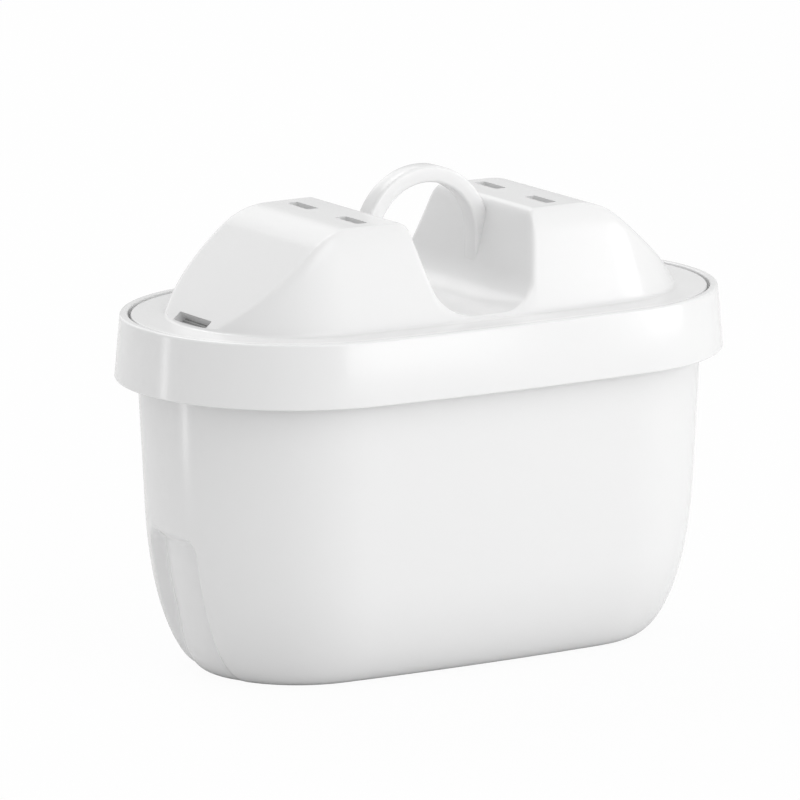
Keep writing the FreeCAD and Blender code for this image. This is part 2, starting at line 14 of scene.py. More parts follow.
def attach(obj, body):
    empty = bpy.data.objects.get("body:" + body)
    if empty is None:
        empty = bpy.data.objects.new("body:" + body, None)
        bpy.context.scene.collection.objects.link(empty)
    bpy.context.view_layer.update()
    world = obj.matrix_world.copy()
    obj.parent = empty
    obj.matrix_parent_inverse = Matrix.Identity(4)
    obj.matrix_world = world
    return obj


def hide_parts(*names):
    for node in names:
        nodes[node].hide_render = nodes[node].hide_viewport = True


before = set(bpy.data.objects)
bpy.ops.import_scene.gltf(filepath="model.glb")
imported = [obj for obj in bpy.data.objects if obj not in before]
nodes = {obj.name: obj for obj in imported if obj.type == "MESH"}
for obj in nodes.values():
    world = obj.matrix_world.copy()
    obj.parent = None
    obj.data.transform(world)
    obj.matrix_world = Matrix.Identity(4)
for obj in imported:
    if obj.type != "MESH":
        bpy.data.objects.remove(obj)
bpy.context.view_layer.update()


# Sizes in millimetres and angles in degrees, as in the solids

COLLAR = {"length": 106.0, "width": 59.4, "bow": 0.7, "rim": 58.2, "edge": 47.8, "flare": 0.92,
          "wall": 1.3, "roof": 54.7}
CUP = {"length": 98.4, "width": 52.9, "draft": 2.8, "wall": 1.4, "base": 1.6,
       "end_round": (8.7, 26.6), "side_round": (9.0, 16.1)}
RECESS = {"width": 15.0, "height": 25.0, "corner": 3.5, "depth": 1.6, "floor": 12.0}
LID = {"flange_top": 58.0, "ledge": 56.3, "gap": 0.45, "wall": 1.6, "length": 90.0, "width": 42.4,
       "lean": 21.5, "plateau": 73.7, "ramp_span": 87.4, "ramp": 40.9, "blend": 11.5,
       "hollow_width": 23.4, "hollow_lean": 13.7, "hollow_depth": 15.0, "hollow_corner": 6.5}
RIB = {"wall": 1.2, "drop": 3.0, "inset": 1.7}
RING = {"centre": 68.0, "outer": 11.9, "inner": 9.2, "depth": 3.8, "drop": 6.0}
VENT = {"width": 2.1, "length": 6.8, "along": 17.9, "across": 7.6}
WINDOW = {"width": 10.0, "height": 1.9}
OUTLET = {"count": 7, "width": 1.6, "length": 16.0, "pitch": 4.4}

# How far edges are rounded, in millimetres; most of them are sharp or chamfered in the solids

ROUND = {"collar": 0.35, "skirt_edge": 0.35 * 1.3, "flange": 0.3, "dome_foot": 0.5, "ring": 0.55,
         "vent": 0.35, "window": 0.25, "outlet": 0.2, "recess": 1.2, "recess_run_out": 12.0,
         "hollow_brow": 1.6, "ramp_foot": 0.7, "plateau_side": 2.6, "hollow_side": 2.6}

# How finely the skins are divided: heights and distances in millimetres, and counts

CUP_GRID = {"recess_share": 0.27, "recess_columns": 79, "end_columns": 26, "side_columns": 22,
            "foot_rows": 30, "foot_step": 0.4, "foot_top": 27.0, "wall_rows": 14,
            "inner_wall_rows": 6, "inner_foot_rows": 12, "flat_rows": 9, "corner_rows": 6}
LID_GRID = {"end_columns": 81, "half_side": 24.6, "middle": (0, 2.4, 4), "hollow": (2.6, 14.2, 0.2),
            "ramp": (14.6, 24.2, 15), "above_plateau": 5.0, "inner_rows": 34, "outer_rows": 52,
            "closing_rows": 34, "rows_skipped_under": 3, "corner_rows": 5, "flange_inset": 1.5}
RING_GRID = {"arch_rows": 73, "leg_rows": 7, "columns": 32}
SLOT_COLUMNS = 24

MM = 0.001
SAME_PLACE = 2e-6
NO_LENGTH = 1e-7
SMOOTH_ANGLE = 34.0


# Surfaces

def shade(mesh):
    """Shades a mesh smooth except across sharp edges."""
    mesh.shade_smooth()
    mesh.set_sharp_from_angle(angle=math.radians(SMOOTH_ANGLE))


def mesh_piece(name, points, faces, material, node):
    """A piece of the housing from points in millimetres, its doubles merged and its faces outwards."""
    mesh = bpy.data.meshes.new(name)
    mesh.from_pydata((np.asarray(points) * MM).tolist(), [], np.asarray(faces).tolist())
    mesh.update()
    work = bmesh.new()
    work.from_mesh(mesh)
    bmesh.ops.remove_doubles(work, verts=work.verts, dist=SAME_PLACE)
    bmesh.ops.dissolve_degenerate(work, edges=work.edges, dist=NO_LENGTH)
    bmesh.ops.recalc_face_normals(work, faces=work.faces)
    work.to_mesh(mesh)
    work.free()
    shade(mesh)
    piece = bpy.data.objects.new(name, mesh)
    bpy.context.scene.collection.objects.link(piece)
    mesh.materials.append(material)
    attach(piece, "root")
    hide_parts(node)
    return piece


def grid_faces(rows, columns):
    """Quads between a grid's rows: a point, the next in its row, and the same two places a row on."""
    row, column = np.meshgrid(np.arange(rows - 1), np.arange(columns), indexing="ij")
    after = (column + 1) % columns
    return np.stack([row * columns + column, row * columns + after,
                     (row + 1) * columns + after, (row + 1) * columns + column], axis=-1).reshape(-1, 4)


def grid_skin(grid):
    """The points and quads of a grid whose rows are closed rings."""
    return grid.reshape(-1, 3), grid_faces(len(grid), grid.shape[1])


def oval_rings(profile, ends, sides):
    """A profile carried round four-arc ovals: a ring to each half length, half width and height.

    The end arcs have the half width less the bow as their radius, and the side arcs the radius at which
    they touch the end arcs. A point lies where the outward normal has turned by an angle: on the end arcs
    by a share of the angle at which they meet the sides, and on the side arcs by a share of what is left.
    So each ring has its points at the same shares, and the rings join into a grid.
    """
    a, b, z = (profile[:, index, None] for index in range(3))
    r = b - COLLAR["bow"]
    reach = a - r
    side = (reach**2 + b**2 - r**2) / (2 * (b - r))
    joint = np.arctan2(side - b, reach)
    right, left = ends[None] * joint, math.pi + ends[None] * joint
    swing = sides[None] * (math.pi / 2 - joint)
    back, front = math.pi / 2 + swing, -math.pi / 2 + swing
    x = [reach + r * np.cos(right), side * np.cos(back), -reach + r * np.cos(left), side * np.cos(front)]
    y = [r * np.sin(right), b - side + side * np.sin(back),
         r * np.sin(left), side - b + side * np.sin(front)]
    x, y = np.concatenate(x, axis=1), np.concatenate(y, axis=1)
    return np.stack([x, y, np.broadcast_to(z, x.shape)], axis=-1)


def corner_curve(start, corner, end, steps):
    """A quadratic curve from start to end that leaves and arrives along the lines to the corner."""
    t = np.linspace(0, 1, steps)[:, None]
    return (1 - t)**2 * start + 2 * t * (1 - t) * corner + t**2 * end


def rounded_path(corners, radii, steps):
    """A path through corners, each cut short by its radius and bridged by a quadratic curve."""
    path = [corners[0]]
    for before, corner, after, radius in zip(corners, corners[1:], corners[2:], radii):
        before, corner, after = (np.asarray(v, float) for v in (before, corner, after))
        start = corner + (before - corner) / np.linalg.norm(before - corner) * radius
        end = corner + (after - corner) / np.linalg.norm(after - corner) * radius
        path.extend(corner_curve(start, corner, end, steps))
    path.append(corners[-1])
    return np.array(path, float)


def inside_collar(path):
    """Half lengths, half widths and heights of a path given as insets from the collar and heights."""
    inset, height = path[:, 0], path[:, 1]
    return np.stack([COLLAR["length"] / 2 - inset, COLLAR["width"] / 2 - inset, height], axis=1)


def smooth_lower(first, second, reach):
    """The lower of two heights, with the step between them rounded where they are within reach."""
    share = np.clip(0.5 + 0.5 * (second - first) / reach, 0, 1)
    return second * (1 - share) + first * share - reach * share * (1 - share)


# Cup

def foot_inset(z, size, wall=0.0, floor=0.0):
    """Quarter ellipse: how far the foot comes in at a height, by its depth and its rise."""
    depth, rise = size
    share = np.clip((rise - z) / (rise - floor), 0, 1)
    return (depth - wall) * (1 - np.sqrt(1 - share**2))


def cup_half_sizes(z, wall=0.0, floor=0.0):
    """Half length and half width at each height: drafted from the skirt's edge, less the foot's inset."""
    draft = math.tan(math.radians(CUP["draft"])) * (COLLAR["edge"] - z) + wall
    return (CUP["length"] / 2 - draft - foot_inset(z, CUP["end_round"], wall, floor),
            CUP["width"] / 2 - draft - foot_inset(z, CUP["side_round"], wall, floor))


def ease(share):
    """A share from 0 to 1 that starts and stops level: three times its square less twice its cube."""
    return share * share * (3 - 2 * share)


def press_recesses(points, rows, wall):
    """Moves the skin of both ends in to the recess floor, inside an arch with its rim rounded.

    The arch is a rectangle with round upper corners. The floor is a column of constant radius whose
    centre follows the foot's profile, and comes out to meet it near the base. On the inner skin both the
    arch and the floor stand off by the wall.
    """
    skin = points[rows]
    x, y, z = skin[..., 0], skin[..., 1], skin[..., 2]
    half, top, corner = RECESS["width"] / 2 + wall, RECESS["height"] + wall, RECESS["corner"] + wall
    over_y = np.abs(y) - (half - corner)
    over_z = z - (top - corner)
    past_corner = np.hypot(np.maximum(over_y, 0), np.maximum(over_z, 0))
    past_rim = past_corner + np.minimum(np.maximum(over_y, over_z), 0) - corner
    share = ease(np.clip(-past_rim / (2 * ROUND["recess"]), 0, 1))
    end, _ = cup_half_sizes(z)
    sink = ease(np.clip(z / ROUND["recess_run_out"], 0, 1))
    centre = end - RECESS["depth"] * sink - RECESS["floor"]
    floor = centre + np.sqrt(np.maximum(RECESS["floor"]**2 - y**2, 0)) - wall
    skin[..., 0] = np.sign(x) * (np.abs(x) + share * (np.minimum(floor, np.abs(x)) - np.abs(x)))
    points[rows] = skin


def cup_columns():
    """The places of a cup ring's points, as shares of its end and side arcs: closest at the recesses."""
    near, count = CUP_GRID["recess_share"], CUP_GRID["end_columns"]
    middle = np.linspace(-near, near, CUP_GRID["recess_columns"])
    ends = np.concatenate([np.linspace(-1, -near, count)[:-1], middle, np.linspace(near, 1, count)[1:]])
    return ends, np.linspace(-1, 1, CUP_GRID["side_columns"])[1:-1]


def cup_outside():
    """The cup's outer profile from the base to the collar's roof, finest on the rounded foot."""
    turn = np.linspace(0, math.pi / 2, CUP_GRID["foot_rows"])
    foot_top, step = CUP_GRID["foot_top"], CUP_GRID["foot_step"]
    levels = np.unique(np.concatenate([
        CUP["end_round"][1] * (1 - np.cos(turn)), np.arange(step, foot_top, step),
        np.linspace(foot_top, COLLAR["roof"], CUP_GRID["wall_rows"])]))
    return np.stack([*cup_half_sizes(levels), levels], axis=1)


def cup_inside():
    """The cup's inner profile from the lid's ledge down to the floor."""
    rise = CUP["end_round"][1]
    turn = np.linspace(0, math.pi / 2, CUP_GRID["inner_foot_rows"])
    levels = np.concatenate([np.linspace(LID["ledge"], CUP_GRID["foot_top"], CUP_GRID["inner_wall_rows"]),
                             rise - (rise - CUP["base"]) * np.sin(turn)])
    return np.stack([*cup_half_sizes(levels, CUP["wall"], CUP["base"]), levels], axis=1)


def collar_profile():
    """Down inside the hanging skirt, round its lower edge, up the flared outside and over the rim."""
    rim, low, roof = COLLAR["rim"], COLLAR["edge"], COLLAR["roof"]
    flare, wall = COLLAR["flare"], COLLAR["wall"]
    slope = flare / (rim - low)
    seat = flare + wall
    return inside_collar(rounded_path(
        [(wall + slope * (roof - low), roof), (wall, low), (0, low), (flare, rim), (seat, rim),
         (seat, LID["ledge"])],
        [ROUND["collar"], ROUND["collar"], ROUND["skirt_edge"], ROUND["collar"]],
        CUP_GRID["corner_rows"]))


def make_cup_skin():
    """Cup and collar as one closed skin: one profile carried round the oval.

    The profile starts in the middle of the base, goes up the outside, round the skirt and the rim, down
    the seat and the inner wall, and ends in the middle of the floor.
    """
    outside, collar, inside = cup_outside(), collar_profile(), cup_inside()
    profile = np.concatenate([outside, collar, inside])
    rings = oval_rings(profile, *cup_columns())
    press_recesses(rings, slice(0, len(outside)), 0.0)
    press_recesses(rings, slice(len(profile) - len(inside), len(profile)), CUP["wall"])
    shares = np.linspace(0, 1, CUP_GRID["flat_rows"])[:-1, None, None]
    flat, level = np.array([1.0, 1.0, 0.0]), np.array([0.0, 0.0, 1.0])
    base = rings[0][None] * (flat * shares + level)
    floor = rings[-1][None] * (flat * shares[::-1] + level)
    return grid_skin(np.concatenate([base, rings, floor]))


# Lid

def trough(x, slope_at, slope, level, radius, rising):
    """Height of a symmetric outline: level in the middle, then a round bend, then a straight slope.

    slope_at is the distance from the middle at which the slope would meet the level, slope its angle.
    """
    lean = math.radians(slope)
    reach = radius * math.tan(lean / 2)
    out = np.abs(x) - (slope_at - reach)
    turn = np.clip(out, 0, radius * math.sin(lean))
    bend = radius - np.sqrt(radius**2 - turn**2)
    beyond = np.maximum(out - radius * math.sin(lean), 0) * math.tan(lean)
    return level + (bend + beyond) * (1 if rising else -1)


def lid_ceiling(x, wall):
    """Plateaus and ramps: level between the ramps, then falling to the flange."""
    lean = math.radians(LID["ramp"])
    level = LID["plateau"] - wall
    foot = LID["ramp_span"] / 2 - wall / math.sin(lean)
    knee = foot - (level - LID["flange_top"]) / math.tan(lean)
    return trough(x, knee, LID["ramp"], level, LID["blend"] - wall, rising=False)


def hollow_height(x, wall):
    """The finger hollow: a level floor, round corners and steep walls."""
    lean = math.radians(LID["hollow_lean"])
    level = LID["plateau"] - LID["hollow_depth"] - wall
    mouth = LID["hollow_width"] / 2 + wall / math.cos(lean)
    knee = mouth - (LID["plateau"] - level) * math.tan(lean)
    return trough(x, knee, 90 - LID["hollow_lean"], level, LID["hollow_corner"] + wall, rising=True)


def crest_height(x, wall, edge):
    """The lower of ceiling and hollow, with an arc of the edge's radius over the hollow's two brows."""
    lowest = np.minimum(lid_ceiling(x, wall), hollow_height(x, wall))
    if edge == 0:
        return lowest
    lean = math.radians(90 - LID["hollow_lean"])
    centre = LID["hollow_width"] / 2 + edge * math.tan(lean / 2)
    out = np.abs(x) - centre
    on_brow = (out < 0) & (out > -edge * math.sin(lean))
    brow = LID["plateau"] - edge + np.sqrt(np.maximum(edge**2 - out**2, 0))
    return np.where(on_brow, brow, lowest)


def shape_humps(rings, wall, floor, edge=0.0):
    """Lowers the leaning oval block to the plateaus, ramps and hollow, each edge rounded on the way.

    The rounding's reach grows with the square of the climb from the flange to the plateaus, so the flank
    meets the ramps almost sharply at their feet and softly at the top. In the hollow half a sine wave is
    added to it, so the walls are softest at mid height.
    """
    x, z = rings[..., 0], rings[..., 2]
    crest = crest_height(x, wall, edge)
    climb = np.clip((crest - LID["flange_top"]) / (LID["plateau"] - LID["flange_top"]), 0, 1)
    in_hollow = np.abs(x) < LID["hollow_width"] / 2 + ROUND["hollow_brow"]
    reach = (ROUND["ramp_foot"] + ROUND["plateau_side"] * climb**2
             + ROUND["hollow_side"] * np.sin(math.pi * climb) * in_hollow)
    shaped = smooth_lower(z, crest, reach)
    rings[..., 2] = np.where(z > floor, np.maximum(shaped, floor), z)


def dome_profile(levels, skin=0.0):
    """The leaning block's half lengths, half widths and heights: in by the lean's tangent as it rises."""
    lean = math.radians(LID["lean"])
    inset = math.tan(lean) * (levels - LID["flange_top"]) + skin / math.cos(lean)
    return np.stack([LID["length"] / 2 - inset, LID["width"] / 2 - inset, levels], axis=1)


def rib_profile():
    """Down the inside of the locating rib under the flange, across its edge and up its outside."""
    low, ledge = LID["ledge"] - RIB["drop"], LID["ledge"]
    cup_length, cup_width = (size[0] for size in cup_half_sizes(np.array([low])))
    outer = np.array([cup_length - RIB["inset"], cup_width - RIB["inset"]])
    inner = outer - RIB["wall"]
    return np.array([(*inner, ledge), (*inner, low), (*outer, low), (*outer, ledge)])


def flange_profile():
    """Out along the flange's underside, round its two edges, and in along its top."""
    ledge, top = LID["ledge"], LID["flange_top"]
    edge = COLLAR["flare"] + COLLAR["wall"] + LID["gap"]
    start = edge + LID_GRID["flange_inset"]
    return inside_collar(rounded_path([(start, ledge), (edge, ledge), (edge, top), (start, top)],
                                      [ROUND["flange"], ROUND["flange"]], LID_GRID["corner_rows"]))


def dome_foot_profile():
    """The small hollow curve in which the flange's top turns up into the dome."""
    top, size = LID["flange_top"], ROUND["dome_foot"]
    corner, up = dome_profile(np.array([top, top + size]))
    return corner_curve(corner + (size, size, 0), corner, up, LID_GRID["corner_rows"])


def lid_columns():
    """The places of a lid ring's points, as shares of its end and side arcs: closest at the hollow."""
    along = np.concatenate([np.linspace(*LID_GRID["middle"]), np.arange(*LID_GRID["hollow"]),
                            np.linspace(*LID_GRID["ramp"])]) / LID_GRID["half_side"]
    return np.linspace(-1, 1, LID_GRID["end_columns"]), np.concatenate([-along[:0:-1], along])


def close_over(ring, shares):
    """Rings that close a ring over: its points brought in to the long axis by shares."""
    along, across = np.array([1.0, 0.0, 1.0]), np.array([0.0, 1.0, 0.0])
    return ring[None] * (along + across * shares)


def make_lid_skin():
    """Lid as one closed skin: inner room, the flange's underside with its rib, its top, then the humps."""
    top, ledge = LID["flange_top"], LID["ledge"]
    raised = LID["plateau"] + LID_GRID["above_plateau"]
    inner = dome_profile(np.linspace(raised, ledge, LID_GRID["inner_rows"]), LID["wall"])
    outer = dome_profile(np.linspace(top + ROUND["dome_foot"], raised, LID_GRID["outer_rows"])[1:])
    profile = np.concatenate([inner, rib_profile(), flange_profile(), dome_foot_profile(), outer])
    rings = oval_rings(profile, *lid_columns())

    shares = np.linspace(0, 1, LID_GRID["closing_rows"])[:-1, None, None]
    under = close_over(rings[0], shares[::LID_GRID["rows_skipped_under"]])
    over = close_over(rings[-1], shares[::-1])
    inside = np.concatenate([under, rings[:len(inner)]])
    outside = np.concatenate([rings[-len(outer):], over])
    shape_humps(inside, LID["wall"], ledge)
    shape_humps(outside, 0.0, top, ROUND["hollow_brow"])
    return grid_skin(np.concatenate([inside, rings[len(inner):-len(outer)], outside]))


def rounded_bar(length, width, corner, columns):
    """The outline of a rounded rectangle: a circle of the corner's radius, its quarters drawn apart."""
    angle = np.linspace(0, 2 * math.pi, columns, endpoint=False) + math.pi / columns
    return (corner * np.cos(angle) + np.sign(np.cos(angle)) * (length / 2 - corner),
            corner * np.sin(angle) + np.sign(np.sin(angle)) * (width / 2 - corner))


def make_ring_skin():
    """Pull ring: a rounded rectangle carried up one leg, over the half circle and down the other leg.

    Each place of the path is its X and Z and the direction outwards from the ring's centre. The first
    and last are doubled with the rectangle at no size, which closes the ends.
    """
    middle, thick = (RING["outer"] + RING["inner"]) / 2, RING["outer"] - RING["inner"]
    turn = np.linspace(math.pi, 0, RING_GRID["arch_rows"])
    arch = np.stack([middle * np.cos(turn), RING["centre"] + middle * np.sin(turn),
                     np.cos(turn), np.sin(turn)], axis=1)
    drop = np.linspace(RING["drop"], 0, RING_GRID["leg_rows"])[:-1]
    leg = np.stack([0 * drop - middle, RING["centre"] - drop, 0 * drop - 1, 0 * drop], axis=1)
    path = np.concatenate([leg, arch, leg[::-1] * (-1, 1, -1, 1)])
    size = np.concatenate([[0.0], np.ones(len(path)), [0.0]])[:, None]
    path = np.concatenate([path[:1], path, path[-1:]])
    out, across = rounded_bar(thick, RING["depth"], ROUND["ring"], RING_GRID["columns"])
    out, across = size * out, size * across
    return grid_skin(np.stack([path[:, :1] + out * path[:, 2:3], across,
                               path[:, 1:2] + out * path[:, 3:4]], axis=-1))


# Slots

def slot_cutter(name, size, corner, centre, tilt=0.0):
    """A bar with rounded corners, for cutting a slot: its sizes along X, Y and Z, and its middle.

    The tilt turns the bar up from the level about Y.
    """
    length, width, depth = size
    x, y = rounded_bar(length, width, corner, SLOT_COLUMNS)
    low = np.stack([x, y, np.full(SLOT_COLUMNS, -depth / 2)], axis=1)
    points = np.concatenate([low, low * (1, 1, -1)])
    cos, sin = math.cos(tilt), math.sin(tilt)
    turned = np.stack([points[:, 0] * cos - points[:, 2] * sin, points[:, 1],
                       points[:, 0] * sin + points[:, 2] * cos], axis=1) + centre
    ends = [list(range(SLOT_COLUMNS))[::-1], list(range(SLOT_COLUMNS, 2 * SLOT_COLUMNS))]
    mesh = bpy.data.meshes.new(name)
    mesh.from_pydata((turned * MM).tolist(), [], grid_faces(2, SLOT_COLUMNS).tolist() + ends)
    cutter = bpy.data.objects.new(name, mesh)
    bpy.context.scene.collection.objects.link(cutter)
    return cutter


def cut_slots(piece, cutters):
    """Cuts the cutters out of a piece and deletes them."""
    materials = list(piece.data.materials)
    for cutter in cutters:
        change = piece.modifiers.new("slot", "BOOLEAN")
        change.operation, change.solver, change.object = "DIFFERENCE", "EXACT", cutter
    view = bpy.context.evaluated_depsgraph_get()
    mesh = bpy.data.meshes.new_from_object(piece.evaluated_get(view))
    piece.modifiers.clear()
    piece.data = mesh
    mesh.materials.clear()
    for material in materials:
        mesh.materials.append(material)
    shade(mesh)
    for cutter in cutters:
        bpy.data.objects.remove(cutter)


# Materials

def node_material(name, base, roughness, specular=0.5):
    """A material with a plain Principled shader, and its node tree."""
    material = bpy.data.materials.new(name)
    material.use_nodes = True
    shader = material.node_tree.nodes["Principled BSDF"]
    shader.inputs["Base Color"].default_value = (*base, 1.0)
    shader.inputs["Roughness"].default_value = roughness
    shader.inputs["Specular IOR Level"].default_value = specular
    return material, material.node_tree, shader


def group_tree(name, inputs, outputs):
    """An empty shader node group with named sockets: (name, kind, default) in, (name, kind) out."""
    tree = bpy.data.node_groups.new(name, "ShaderNodeTree")
    for label, kind, default in inputs:
        socket = tree.interface.new_socket(label, in_out="INPUT", socket_type=kind)
        if default is not None:
            socket.default_value = default
    for label, kind in outputs:
        tree.interface.new_socket(label, in_out="OUTPUT", socket_type=kind)
    return tree, tree.nodes.new("NodeGroupInput"), tree.nodes.new("NodeGroupOutput")


def feed(tree, socket, value):
    """Links a socket to another, or sets it to a plain value."""
    if isinstance(value, bpy.types.NodeSocket):
        tree.links.new(value, socket)
    else:
        socket.default_value = value


def calculate(tree, operation, *terms):
    """A Math node on sockets and numbers, and its outcome."""
    node = tree.nodes.new("ShaderNodeMath")
    node.operation = operation
    for socket, term in zip(node.inputs, terms):
        feed(tree, socket, term)
    return node.outputs["Value"]


def spread_over(tree, value, **limits):
    """A Map Range node: a value carried from one range to another, each 0 to 1 unless given."""
    node = tree.nodes.new("ShaderNodeMapRange")
    feed(tree, node.inputs["Value"], value)
    for label, limit in limits.items():
        feed(tree, node.inputs[label.replace("_", " ")], limit)
    return node.outputs["Result"]


def mix_colors(tree, share, first, second, blend="MIX"):
    """The first colour with a share of the second."""
    node = tree.nodes.new("ShaderNodeMix")
    node.data_type, node.blend_type = "RGBA", blend
    for label, value in (("Factor", share), ("A", first), ("B", second)):
        feed(tree, node.inputs[label], value)
    return node.outputs["Result"]


def moulded_surface_group():
    """Injection moulding seen close up: a fine spark-eroded grain, and slow waves where the wall sank."""
    tree, given, result = group_tree(
        "moulded_surface",
        [("Position", "NodeSocketVector", None), ("Color", "NodeSocketColor", (0.8, 0.8, 0.8, 1.0)),
         ("Tint", "NodeSocketFloat", 0.02), ("Roughness", "NodeSocketFloat", 0.35),
         ("Grain Size", "NodeSocketFloat", 0.0004), ("Wave Depth", "NodeSocketFloat", 0.3)],
        [("Color", "NodeSocketColor"), ("Roughness", "NodeSocketFloat"), ("Height", "NodeSocketFloat")])
    grain = tree.nodes.new("ShaderNodeTexNoise")
    feed(tree, grain.inputs["Detail"], 2.0)
    feed(tree, grain.inputs["Vector"], given.outputs["Position"])
    feed(tree, grain.inputs["Scale"], calculate(tree, "DIVIDE", 1.0, given.outputs["Grain Size"]))
    waves = tree.nodes.new("ShaderNodeTexNoise")
    feed(tree, waves.inputs["Scale"], 45.0)
    feed(tree, waves.inputs["Detail"], 1.0)
    feed(tree, waves.inputs["Vector"], given.outputs["Position"])

    tint = spread_over(tree, waves.outputs["Fac"], To_Max=given.outputs["Tint"])
    color = mix_colors(tree, tint, given.outputs["Color"], (0.8, 0.82, 0.84, 1.0), "MULTIPLY")
    uneven = spread_over(tree, grain.outputs["Fac"], To_Min=-0.04, To_Max=0.04)
    feed(tree, result.inputs["Color"], color)
    feed(tree, result.inputs["Roughness"], calculate(tree, "ADD", given.outputs["Roughness"], uneven))
    feed(tree, result.inputs["Height"], calculate(
        tree, "MULTIPLY_ADD", waves.outputs["Fac"], given.outputs["Wave Depth"], grain.outputs["Fac"]))
    return tree


def packed_grains_group():
    """Loose grains pressed together: each a cell of its own tone, with painted shade darkening the gaps
    between them.
    """
    tree, given, result = group_tree(
        "packed_grains",
        [("Position", "NodeSocketVector", None), ("Color", "NodeSocketColor", (0.5, 0.5, 0.5, 1.0)),
         ("Grain Size", "NodeSocketFloat", 0.0006), ("Shade Spread", "NodeSocketFloat", 0.4)],
        [("Color", "NodeSocketColor"), ("Height", "NodeSocketFloat")])
    cells = tree.nodes.new("ShaderNodeTexVoronoi")
    feed(tree, cells.inputs["Vector"], given.outputs["Position"])
    feed(tree, cells.inputs["Scale"], calculate(tree, "DIVIDE", 1.0, given.outputs["Grain Size"]))
    own = tree.nodes.new("ShaderNodeSeparateColor")
    feed(tree, own.inputs["Color"], cells.outputs["Color"])
    spread = calculate(tree, "MULTIPLY", own.outputs["Red"], given.outputs["Shade Spread"])
    # Painted shade: each grain darkens from its middle out into the gaps between grains, as if in shadow,
    # mixed with its own tone
    gap = spread_over(tree, cells.outputs["Distance"], From_Min=0.35, From_Max=0.75)
    tone_and_gap_shade = calculate(tree, "MAXIMUM", spread, gap)
    feed(tree, result.inputs["Color"],
         mix_colors(tree, tone_and_gap_shade, given.outputs["Color"], (0.02, 0.018, 0.015, 1.0)))
    feed(tree, result.inputs["Height"], calculate(tree, "SUBTRACT", 1.0, cells.outputs["Distance"]))
    return tree


def woven_mesh_group():
    """Fine square weave: threads both ways as two sine waves, the higher of the two on top."""
    tree, given, result = group_tree(
        "woven_mesh",
        [("Position", "NodeSocketVector", None), ("Thread", "NodeSocketColor", (0.6, 0.6, 0.6, 1.0)),
         ("Hole", "NodeSocketColor", (0.05, 0.05, 0.05, 1.0)), ("Pitch", "NodeSocketFloat", 0.00035)],
        [("Color", "NodeSocketColor"), ("Height", "NodeSocketFloat")])
    place = tree.nodes.new("ShaderNodeSeparateXYZ")
    feed(tree, place.inputs["Vector"], given.outputs["Position"])
    threads = []
    for axis in ("X", "Y"):
        turns = calculate(tree, "DIVIDE", place.outputs[axis], given.outputs["Pitch"])
        threads.append(calculate(tree, "SINE", calculate(tree, "MULTIPLY", turns, 2 * math.pi)))
    higher = calculate(tree, "MAXIMUM", *threads)
    cover = spread_over(tree, higher, From_Min=-0.2, From_Max=0.4)
    feed(tree, result.inputs["Color"],
         mix_colors(tree, cover, given.outputs["Hole"], given.outputs["Thread"]))
    feed(tree, result.inputs["Height"], higher)
    return tree


def patterned(name, group, roughness, bump_depth, bump_strength=0.5, base=(0.5, 0.5, 0.5), **values):
    """A material with its colour and relief, and its roughness if the group gives it, from a pattern."""
    material, tree, shader = node_material(name, base, roughness)
    surface = tree.nodes.new("ShaderNodeGroup")
    surface.node_tree = group
    for label, value in values.items():
        feed(tree, surface.inputs[label.replace("_", " ")], value)
    place = tree.nodes.new("ShaderNodeTexCoord")
    feed(tree, surface.inputs["Position"], place.outputs["Object"])
    feed(tree, shader.inputs["Base Color"], surface.outputs["Color"])
    if "Roughness" in surface.outputs:
        feed(tree, surface.inputs["Roughness"], roughness)
        feed(tree, shader.inputs["Roughness"], surface.outputs["Roughness"])
    bump = tree.nodes.new("ShaderNodeBump")
    feed(tree, bump.inputs["Strength"], bump_strength)
    feed(tree, bump.inputs["Distance"], bump_depth)
    feed(tree, bump.inputs["Height"], surface.outputs["Height"])
    feed(tree, shader.inputs["Normal"], bump.outputs["Normal"])
    return material


MOULDED, GRAINS, WEAVE = moulded_surface_group(), packed_grains_group(), woven_mesh_group()
HOUSING = {"bump_strength": 0.06, "base": (0.8, 0.8, 0.8), "Color": (0.8, 0.8, 0.8, 1),
           "Grain_Size": 0.0004, "Wave_Depth": 0.5}
cup_plastic = patterned("cup_plastic", MOULDED, 0.16, 0.0001, **HOUSING)
lid_plastic = patterned("lid_plastic", MOULDED, 0.18, 0.0001, **HOUSING)
screen_mesh = patterned("screen_mesh", WEAVE, 0.5, 0.0001, Thread=(0.55, 0.55, 0.55, 1),
                        Hole=(0.06, 0.06, 0.06, 1))
# Carbon, resin and fleece get painted shade in the gaps between their grains from packed_grains
carbon = patterned("carbon", GRAINS, 0.7, 0.0003, Color=(0.05, 0.05, 0.055, 1), Grain_Size=0.0009)
resin = patterned("resin", GRAINS, 0.3, 0.0003, Color=(0.55, 0.36, 0.12, 1), Grain_Size=0.0006)
fleece = patterned("fleece", GRAINS, 0.9, 0.0002, Color=(0.75, 0.75, 0.73, 1), Grain_Size=0.0002,
                   Shade_Spread=0.15)
FILLINGS = {"screen": screen_mesh, "carbon": carbon, "resin": resin, "fleece": fleece}


# Pieces

def make_cup():
    """Cup and collar, with the row of outlet slots cut through the base."""
    cup = mesh_piece("cup_moulding", *make_cup_skin(), cup_plastic, "cup")
    size = (OUTLET["width"], OUTLET["length"], 3 * CUP["base"])
    places = (np.arange(OUTLET["count"]) - (OUTLET["count"] - 1) / 2) * OUTLET["pitch"]
    middle = CUP["base"] / 2
    cut_slots(cup, [slot_cutter("outlet", size, ROUND["outlet"], (x, 0, middle)) for x in places])


